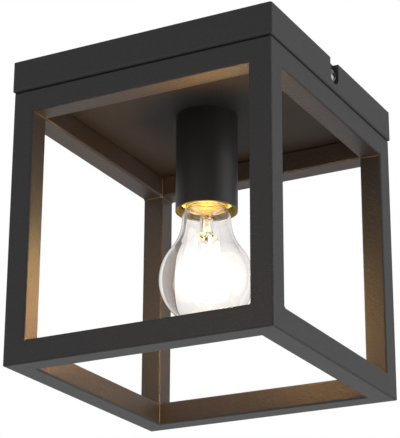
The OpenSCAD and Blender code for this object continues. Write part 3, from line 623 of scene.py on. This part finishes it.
def panHead(width, height, h):
    # a square grid (a, b) bent to a disc: x = a sqrt(1 - b^2 / 2), y = b sqrt(1 - a^2 / 2), raised by a dome
    # less a cross
    wall, reach, half = h["wall"], h["recessReach"], h["recessHalf"]
    out = np.concatenate([np.linspace(half + wall, reach - wall, h["wallPoints"]),
                          np.linspace(reach, 1.0, h["outerPoints"])])
    u = np.concatenate([-out[::-1], [-half, -half / 2, 0, half / 2, half], out])
    a, b = np.meshgrid(u, u, indexing="ij")
    x, y = a * np.sqrt(1 - b * b / 2), b * np.sqrt(1 - a * a / 2)
    far = np.hypot(x, y)

    def arm(along, across):
        # 1 on one bar of the cross, down to 0 over the width of a wall
        ends, sides = reach - np.abs(along), half + wall - np.abs(across)
        return np.clip(ends / wall, 0, 1) * np.clip(sides / wall, 0, 1)

    cross = np.maximum(arm(a, b), arm(b, a))
    floor = h["recessDepth"] * (1 - h["recessRise"] * far / reach)
    dome = 1 - h["dome"] * far ** h["domePower"]
    top = asPoints(x * width / 2, y * width / 2, height * (dome - cross * floor)).reshape(-1, 3)
    n = len(u)
    flat = np.arange(n * n).reshape(n, n)
    faces = np.stack([flat[:-1, :-1], flat[1:, :-1], flat[1:, 1:], flat[:-1, 1:]], -1).reshape(-1, 4).tolist()
    # the grid's border runs down the side of the head and in to the middle of its underside
    border = np.concatenate([flat[:-1, 0], flat[-1, :-1], flat[:0:-1, -1], flat[0, :0:-1]])
    side = top[border] * [1, 1, 0] + [0, 0, height * h["rim"]]
    under = top[border] * [h["under"], h["under"], 0]
    count = len(border)
    now, after = np.arange(count), (np.arange(count) + 1) % count
    upper, lower, middle = n * n, n * n + count, n * n + 2 * count
    faces += np.stack([border, border[after], upper + after, upper + now], -1).tolist()
    faces += np.stack([upper + now, upper + after, lower + after, lower + now], -1).tolist()
    faces += np.stack([lower + now, lower + after, np.full(count, middle)], -1).tolist()
    return np.concatenate([top, side, under, [[0, 0, 0]]]), faces


# the thread's depth is a share of its width and a least part
shankSet = {"steps": 24, "sunk": 0.02, "depthShare": 0.075, "depthLeast": 0.03}


def panScrew(s, axis, place):
    # head on its seat at z = 0, thread below it and just into it
    length, sunk = s["length"], shankSet["sunk"]
    depth = shankSet["depthShare"] * s["thread"] + shankSet["depthLeast"]
    rows = screwThread(s["thread"] / 2, -length, sunk, s["pitch"], depth, shankSet["steps"])
    shank = skin(rows, startPole=(0, 0, -length), endPole=(0, 0, sunk))
    head = panHead(s["width"], s["height"], headSet)
    return [(*turnTo(part, axis, place), 0) for part in (head, shank)]


def placeScrews(name, body, s, spots, axis=(0, 0, 1), coat="bright_zinc_hardware"):
    parts = sum((panScrew(s, axis, spot) for spot in spots), [])
    makePiece(name + "Detail", parts, [coat], body, name)


sideScrewSet = {"width": 8.0, "height": 2.6, "thread": 4.0, "length": 10.0, "pitch": 0.7,
                "seat": 88.2, "level": -10, "coat": "shadedZinc"}
cageScrewSet = {"width": 8.0, "height": 2.6, "thread": 4.0, "length": 8.0, "pitch": 0.7,
                "across": (-54, 54), "along": (-82.5, 82.5), "level": -19.8}
bridgeScrewSet = {"width": 5.0, "height": 2.0, "thread": 2.5, "length": 7.0, "pitch": 0.5,
                  "along": (-12.5, 12.5), "level": -44.5}
terminalScrewSet = {"width": 5.0, "height": 2.0, "thread": 2.5, "length": 2.9, "pitch": 0.5,
                    "across": (9.5, -12.4), "level": -39}
blockScrewSet = {"width": 3.8, "height": 1.2, "thread": 2.5, "length": 2.55, "pitch": 0.5,
                 "across": (-38.5, -29.5), "along": (-9.5, 0, 9.5), "level": -9.65}


def placeSideScrews(s):
    for word, side in (("right", 1), ("left", -1)):
        spot = (side * s["seat"], 0, s["level"])
        placeScrews(f"side_screw_{word}", f"{word}_screw", s, [spot], (side, 0, 0), s["coat"])


def placeUpright(name, s):
    # upright screws, one at each crossing of the places across and along
    spots = [(x, y, s["level"]) for x in s.get("across", (0,)) for y in s.get("along", (0,))]
    placeScrews(name, "fixture", s, spots)


placeSideScrews(sideScrewSet)
placeUpright("cage_screws", cageScrewSet)
placeUpright("bridge_screws", bridgeScrewSet)
placeUpright("terminal_screws", terminalScrewSet)
placeUpright("block_screws", blockScrewSet)


# cone and face are shares of half the width across the flats
nutSet = {"steps": 96, "chamfer": 0.384, "bevel": 0.35, "cone": 1.015, "face": 0.985}
nippleNutSet = {"flats": 14.0, "bore": 5.05, "height": 3.0, "spots": [(0, 0, -18.8), (0, 0, -25.2)]}
blockNutSet = {"flats": 5.5, "bore": 1.55, "height": 2.4, "spots": [(-34, 4.75, -7.3)]}
earthNutSet = {"flats": 7.0, "bore": 2.05, "height": 3.2, "spots": [(16, 9.5, -12.4)]}


def hexNut(s, n):
    # hexagon r = flats / (2 cos u), u the angle from the nearest flat, corners cut by a cone; bevelled bore
    t = around(n["steps"])
    u = (t + math.pi / 6) % (math.pi / 3) - math.pi / 6
    hexagon = s["flats"] / 2 / np.cos(u)
    face = np.minimum(hexagon, s["flats"] / 2 * n["cone"]) * n["face"]
    height, bore, mouth = s["height"], s["bore"], s["bore"] + n["bevel"]
    levels = [(mouth, 0.0), (face, 0.0), (hexagon, n["chamfer"]), (hexagon, height - n["chamfer"]),
              (face, height), (mouth, height), (bore, height - n["bevel"]), (bore, n["bevel"])]
    return skin(np.stack([ringed(r, t, z) for r, z in levels]), wrapRows=True)


def placeNuts(name, s):
    points, faces = hexNut(s, nutSet)
    parts = [(points + np.array(spot, float), faces, 0) for spot in s["spots"]]
    makePiece(name + "Detail", parts, ["bright_zinc_hardware"], "fixture", name)


placeNuts("nipple_nuts", nippleNutSet)
placeNuts("block_nut", blockNutSet)
placeNuts("earth_nut", earthNutSet)


nippleSet = {"radius": 5.0, "bore": 3.9, "low": -37.0, "high": -14.6, "pitch": 1.0, "depth": 0.45,
             "bevel": 0.2, "steps": 64}


def threadedPipe(s):
    # outer wall with the thread, then back down the plain bevelled bore
    low, high, bore, bevel = s["low"], s["high"], s["bore"], s["bevel"]
    wall = screwThread(s["radius"], low, high, s["pitch"], s["depth"], s["steps"])
    levels = [(bore + bevel, high), (bore, high - bevel), (bore, low + bevel), (bore + bevel, low)]
    inner = [ringed(r, around(s["steps"]), z)[None] for r, z in levels]
    return skin(np.concatenate([wall, *inner]), wrapRows=True)


makePiece("nippleDetail", [(*threadedPipe(nippleSet), 0)], ["yellow_passivated_steel"], "fixture",
          "nipple")
print("screws, nuts and nipple placed")


# the round thread that the bulb's cap and the socket's shell share
socketThread = {"pitch": 3.628, "depth": 0.85, "perTurn": 16, "fade": 1.4, "steps": 96}
capSet = {"low": -84.0, "step": -80.6, "roof": -62.6, "radius": 12.97, "skirt": 13.3, "plug": 10.25,
          "wall": 0.4, "hem": (0.12, 0.15), "stepRise": 0.4, "threadRise": 0.6, "shoulder": 0.9,
          "shoulderPoints": 6}
shellSet = {"low": -78.5, "high": -55.0, "inside": 13.22, "hole": 11.65, "wall": 0.33, "threadRise": 0.9,
            "threadDrop": 1.6, "shoulder": 0.4, "shoulderDrop": 0.9, "floor": 0.5}


def threadedSheet(radius, low, high, tall, s):
    # angles, heights and radii of a sheet's thread: r = radius - depth wave, faded in and out at its ends
    t = around(s["steps"])[None, :]
    z = np.linspace(low, high, int(tall / s["pitch"] * s["perTurn"]))[:, None]
    fade = np.clip(np.minimum(z - z[0], z[-1] - z) / s["fade"], 0, 1)
    return t, z, radius - s["depth"] * threadWave(z, t, s["pitch"]) * fade


def capShape(c, s):
    # plain skirt, threaded wall, round shoulder r = radius - b + b cos v, and a roof in to the plug
    low, step, roof, radius, skirt, wall = (c[k] for k in ("low", "step", "roof", "radius", "skirt", "wall"))
    b = c["shoulder"]
    t, z, r = threadedSheet(radius, step + c["threadRise"], roof - b, roof - step, s)
    v = np.linspace(0, math.pi / 2, c["shoulderPoints"])[:, None]
    levels = [(skirt - c["hem"][0], low), (skirt, low + c["hem"][1]), (skirt, step),
              (radius, step + c["stepRise"]), (r, z),
              (radius - b + b * np.cos(v), roof - b + b * np.sin(v)), (c["plug"], roof)]
    outer = np.concatenate([ringed(a, t, height) for a, height in levels])
    # the inside is the outside, one wall nearer to the axis and below the roof
    inner = (outer * (1 - (wall / np.hypot(outer[..., 0], outer[..., 1]))[..., None] * [1, 1, 0]))[::-1]
    inner[..., 2] = np.clip(inner[..., 2], low, roof - wall)
    inner[0] = outer[-1] - [0, 0, wall]
    return skin(np.concatenate([outer, inner]), wrapRows=True)


def shellShape(c, s):
    # threaded wall with a flange round the hole in its floor, then back down the outside
    low, high, inside, hole, wall = (c[k] for k in ("low", "high", "inside", "hole", "wall"))
    t, z, r = threadedSheet(inside, low + c["threadRise"], high - c["threadDrop"], high - low, s)
    levels = [(inside, low), (r, z), (inside, high - c["shoulderDrop"]),
              (inside - c["shoulder"], high - c["floor"]), (hole, high - c["floor"]), (hole, high),
              (inside + wall, high), (r[::-1] + wall, z[::-1]), (inside + wall, low)]
    return skin(np.concatenate([ringed(a, t, height) for a, height in levels]), wrapRows=True)


makePiece("bulbCapDetail", [(*capShape(capSet, socketThread), 0)], ["nickel_cap"], "bulb",
          "bulb_cap")
makePiece("socketShellDetail", [(*shellShape(shellSet, socketThread), 0)], ["brass"], "fixture",
          "socket_shell")


# domed contact at the tip of the cap: radius and height, from pole to pole
tipSet = {"profile": [(0, -57.0), (1.8, -57.02), (3.2, -57.16), (4.1, -57.4), (4.55, -57.7), (4.6, -57.85),
                      (4.6, -58.0), (0, -58.0)], "steps": 48}
makePiece("contactTipDetail", [(*turned(tipSet["profile"], tipSet["steps"]), 0)], ["tinned_copper"],
          "bulb_contact", "contact_tip")


bulbSet = {"globe": 30.0, "centre": -132.0, "neck": 15.6, "fillet": 36.0, "shoulder": -87.5, "low": -84.0,
           "top": -80.0, "inCap": 12.47, "wall": 0.8, "lip": 0.2, "globePoints": 64, "filletPoints": 22,
           "shoulderPoints": 14, "steps": 128, "sharp": 60.0}


def bulbProfile(b, inset):
    # from the globe's pole up: circle, hollow arc tangent to it, S curve neck + (inCap - neck) u^2 (3 - 2 u)
    globe, neck, inCap = (b[k] - inset for k in ("globe", "neck", "inCap"))
    fillet = b["fillet"] + inset
    rise = math.sqrt((globe + fillet) ** 2 - (neck + fillet) ** 2)
    meet = math.atan2(neck + fillet, rise)
    a = np.linspace(math.pi, meet, b["globePoints"])
    arc = np.stack([globe * np.sin(a), b["centre"] + globe * np.cos(a)], 1)
    arc[0, 0] = 0
    c = np.linspace(meet, math.pi / 2, b["filletPoints"])[1:]
    hollow = np.stack([neck + fillet - fillet * np.sin(c), b["centre"] + rise - fillet * np.cos(c)], 1)
    u = np.linspace(0, 1, b["shoulderPoints"])
    swing = u * u * (3 - 2 * u)
    bend = np.stack([neck + (inCap - neck) * swing, b["shoulder"] + (b["low"] - b["shoulder"]) * u], 1)
    return np.concatenate([arc, hollow, bend, [[inCap, b["top"] - b["lip"]]]])


def glassShape(b):
    # up the outside, over the rounded rim and back down one wall further in
    rim = [[b["inCap"] - b["lip"], b["top"]], [b["inCap"] - b["wall"] + b["lip"], b["top"]]]
    profile = np.concatenate([bulbProfile(b, 0), rim, bulbProfile(b, b["wall"])[::-1]])
    return turned(profile, b["steps"])


makePiece("bulbGlassDetail", [(*glassShape(bulbSet), 0)], ["clear_glass"], "bulb",
          "bulb_glass", bulbSet["sharp"])


stemSet = {"rim": 11.62, "top": -84.0, "neck": -91.0, "flare": 2.4, "flareRise": 0.7, "lip": (1.0, 1.5),
           "wall": 0.9, "tube": 4.3, "foot": -103.0, "footDrop": 2.2, "hollow": (2.4, 1.6), "rod": 1.3,
           "end": -146.0, "flarePoints": 20, "roundPoints": 10, "steps": 64, "sharp": 40.0}
# leads: distance from the axis and height of each corner, counted from the stem's neck, its foot and zero
leadSet = {"radius": 0.22, "start": (1.7, 2), "foot": (2.2, -2.9), "end": (7.0, -103.2), "bend": 1.2,
           "bendPoints": 10, "steps": 10}


def stemProfile(s):
    # trumpet flare r = tube + (rim - tube) (1 - u)^flare, a wide tube pinched shut at its foot, then a rod
    # with a round end
    tube, rod, wall, foot = s["tube"], s["rod"], s["wall"], s["foot"]
    u = np.linspace(0, 1, s["flarePoints"])
    spread = (1 - u) ** s["flare"]
    flare = np.stack([tube + (s["rim"] - tube) * spread, s["top"] + (s["neck"] - s["top"]) * u], 1)
    inner = np.stack([flare[:, 0] - wall, flare[:, 1] + s["flareRise"] * u], 1)
    v = np.linspace(0, math.pi / 2, s["roundPoints"])
    pinch = np.stack([rod + (tube - rod) * np.cos(v), foot - s["footDrop"] * np.sin(v)], 1)
    hollow = np.stack([(tube - wall) * np.cos(v), foot + s["hollow"][0] - s["hollow"][1] * np.sin(v)], 1)
    end = np.stack([rod * np.cos(v), s["end"] + rod * (1 - np.sin(v))], 1)
    hollow[-1, 0] = end[-1, 0] = 0
    lip = [[s["rim"] - s["lip"][0], s["top"] + s["lip"][1]], [s["rim"], s["top"] + s["lip"][1]]]
    return np.concatenate([hollow[::-1], inner[::-1], lip, flare, pinch, end])


def leadWire(s, w, turn):
    # a nickel lead from inside the tube, out of its foot and across to the top of a stick
    spots = np.array([w["start"], w["foot"], w["end"]]) + [[0, s["neck"]], [0, s["foot"]], [0, 0]]
    path = ringed(spots[:, 0], turn, spots[:, 1])
    return swept(roundedPath(path, w["bend"], w["bendPoints"]), w["radius"], w["steps"])


stickTurns = [math.radians(45 + 90 * k) for k in range(4)]  # the four light sticks' directions from the axis
stemParts = [(*turned(stemProfile(stemSet), stemSet["steps"]), 0)]
stemParts += [(*leadWire(stemSet, leadSet, turn), 1) for turn in stickTurns[::2]]
makePiece("glassStemDetail", stemParts, ["clear_glass", "nickel_wire"], "bulb", "glass_stem",
          stemSet["sharp"])


# light sticks, each from its top down and leaning outwards
stickSet = {"top": -104.0, "length": 38.0, "radius": 0.9, "place": 7.0, "lean": 4.0, "beads": 26,
            "waist": 0.09, "taper": 30, "endShare": 0.35, "tip": 1.6, "tipRadius": 0.34, "tipOverlap": 0.3,
            "beadPoints": 6, "steps": 20, "tipSteps": 12}


def stickProfile(s):
    # row of beads: r = radius (1 - waist (1 - |cos(pi beads u)|)), tapering at both ends to flat metal tips
    u = np.linspace(0, 1, s["beads"] * s["beadPoints"] + 1)
    taper = np.clip(np.minimum(u, 1 - u) * s["taper"], 0, 1) ** 0.5
    beads = 1 - s["waist"] * (1 - np.abs(np.cos(math.pi * s["beads"] * u)))
    r = s["radius"] * beads * (s["endShare"] + (1 - s["endShare"]) * taper)
    body = np.stack([r, s["tip"] + (s["length"] - 2 * s["tip"]) * u], 1)
    return np.concatenate([[[0, s["tip"]]], body, [[0, s["length"] - s["tip"]]]])


def stickParts(s):
    lean = math.radians(s["lean"])
    tipEnd, thin = s["tip"] + s["tipOverlap"], s["tipRadius"]
    near = [(0, 0), (thin, 0), (thin, tipEnd), (0, tipEnd)]
    far = [(r, s["length"] - z) for r, z in near[::-1]]
    parts = []
    for turn in stickTurns:
        x, y = math.cos(turn), math.sin(turn)
        axis = (math.sin(lean) * x, math.sin(lean) * y, -math.cos(lean))
        spot = (s["place"] * x, s["place"] * y, s["top"])
        parts.append((*turnTo(turned(stickProfile(s), s["steps"]), axis, spot), 0))
        parts += [(*turnTo(turned(tip, s["tipSteps"]), axis, spot), 1) for tip in (near, far)]
    return parts


makePiece("ledFilamentsDetail", stickParts(stickSet), ["led_phosphor", "nickel_wire"], "bulb",
          "led_filaments")


# wires that carry the sticks: sag is how far each of a wire's four corners lies towards the stick's middle
supportSet = {"radius": 0.24, "rod": 1.35, "share": 0.55, "hook": 0.35, "clear": 0.5,
              "sag": (0.1, -0.05, -0.02, 0.1), "bend": 0.3, "bendPoints": 6, "steps": 10}


def supportParts(s, w):
    # a hooked wire from the rod to each stick, just above its top and just below its foot
    lean = math.radians(s["lean"])
    foot = s["top"] - s["length"] * math.cos(lean)
    reach = s["place"] + s["length"] * math.sin(lean)
    parts = []
    for turn in stickTurns:
        for level, end, side in ((s["top"] + w["clear"], s["place"], 1), (foot - w["clear"], reach, -1)):
            outs = np.array([w["rod"], w["share"] * end, end, end + w["hook"]])
            path = ringed(outs, turn, level - side * np.array(w["sag"]))
            parts.append((*swept(roundedPath(path, w["bend"], w["bendPoints"]), w["radius"], w["steps"]), 0))
    return parts


makePiece("filamentWiresDetail", supportParts(stickSet, supportSet), ["nickel_wire"], "bulb",
          "filament_wires")
print("bulb and socket placed")


def placeWire(name, slot, path, bareEnds, w):
    # insulated run, with bare copper out of its first end or out of both
    path = np.array(path, float)
    parts = [(*swept(roundedPath(path, w["bend"], w["bendPoints"]), w["radius"], w["steps"]), 0)]
    for end, before in ((path[0], path[1]), (path[-1], path[-2]))[:bareEnds]:
        out = (end - before) / np.linalg.norm(end - before)
        core = [end - out * w["overlap"], end + out * w["bare"]]
        parts.append((*swept(core, w["core"], w["coreSteps"]), 1))
    makePiece(name + "Detail", parts, [slot, "bareCopper"], "fixture", name)


def placeWires(w):
    block, rows, apart, level, low = (w[k] for k in ("block", "rows", "apart", "level", "low"))
    live = [(block, -rows, level), (apart, -rows, level), (apart, 0, level), (apart, 0, low),
            (w["liveEnd"], 0, low)]
    neutral = [(block, 0, level), (-apart, 0, level), (-apart, 0, low), (w["neutralEnd"], 0, low)]
    earth = [(block, rows, level), (w["earthEnd"], rows, level)]
    placeWire("live_wire", "brown_insulation", live, 2, w)
    placeWire("neutral_wire", "blue_insulation", neutral, 2, w)
    placeWire("earth_wire", "green_yellow_insulation", earth, 1, w)


placeWires(wireSet)
print("wires placed")


floorSet = {"level": -2200.0, "size": 9000.0, "points": 9, "colour": (0.8, 0.79, 0.77),
            "tint": (0.84, 0.83, 0.81), "cloud": 1.5, "dull": 0.1, "rough": 0.6}


def makeFloor(a):
    # a flat grid of points, square and facing up
    u = np.linspace(-a["size"] / 2, a["size"] / 2, a["points"])
    points, faces = skin(asPoints(u[:, None], u[None, :], a["level"]), wrapColumns=False)
    mesh = bpy.data.meshes.new("paleFloor")
    mesh.from_pydata((points * mm).tolist(), [], [f[::-1] for f in faces])
    f = Finish("paleFloor")
    cloud = f.noise(f.place(), a["cloud"], 3.0)
    mesh.materials.append(f.surface({"Base Color": f.blend(cloud, a["colour"], a["tint"]),
                                     "Roughness": cloud * a["dull"] + a["rough"]}))
    floor = linked("paleFloor", mesh)


makeFloor(floorSet)
print("floor placed")

bpy.context.view_layer.update()
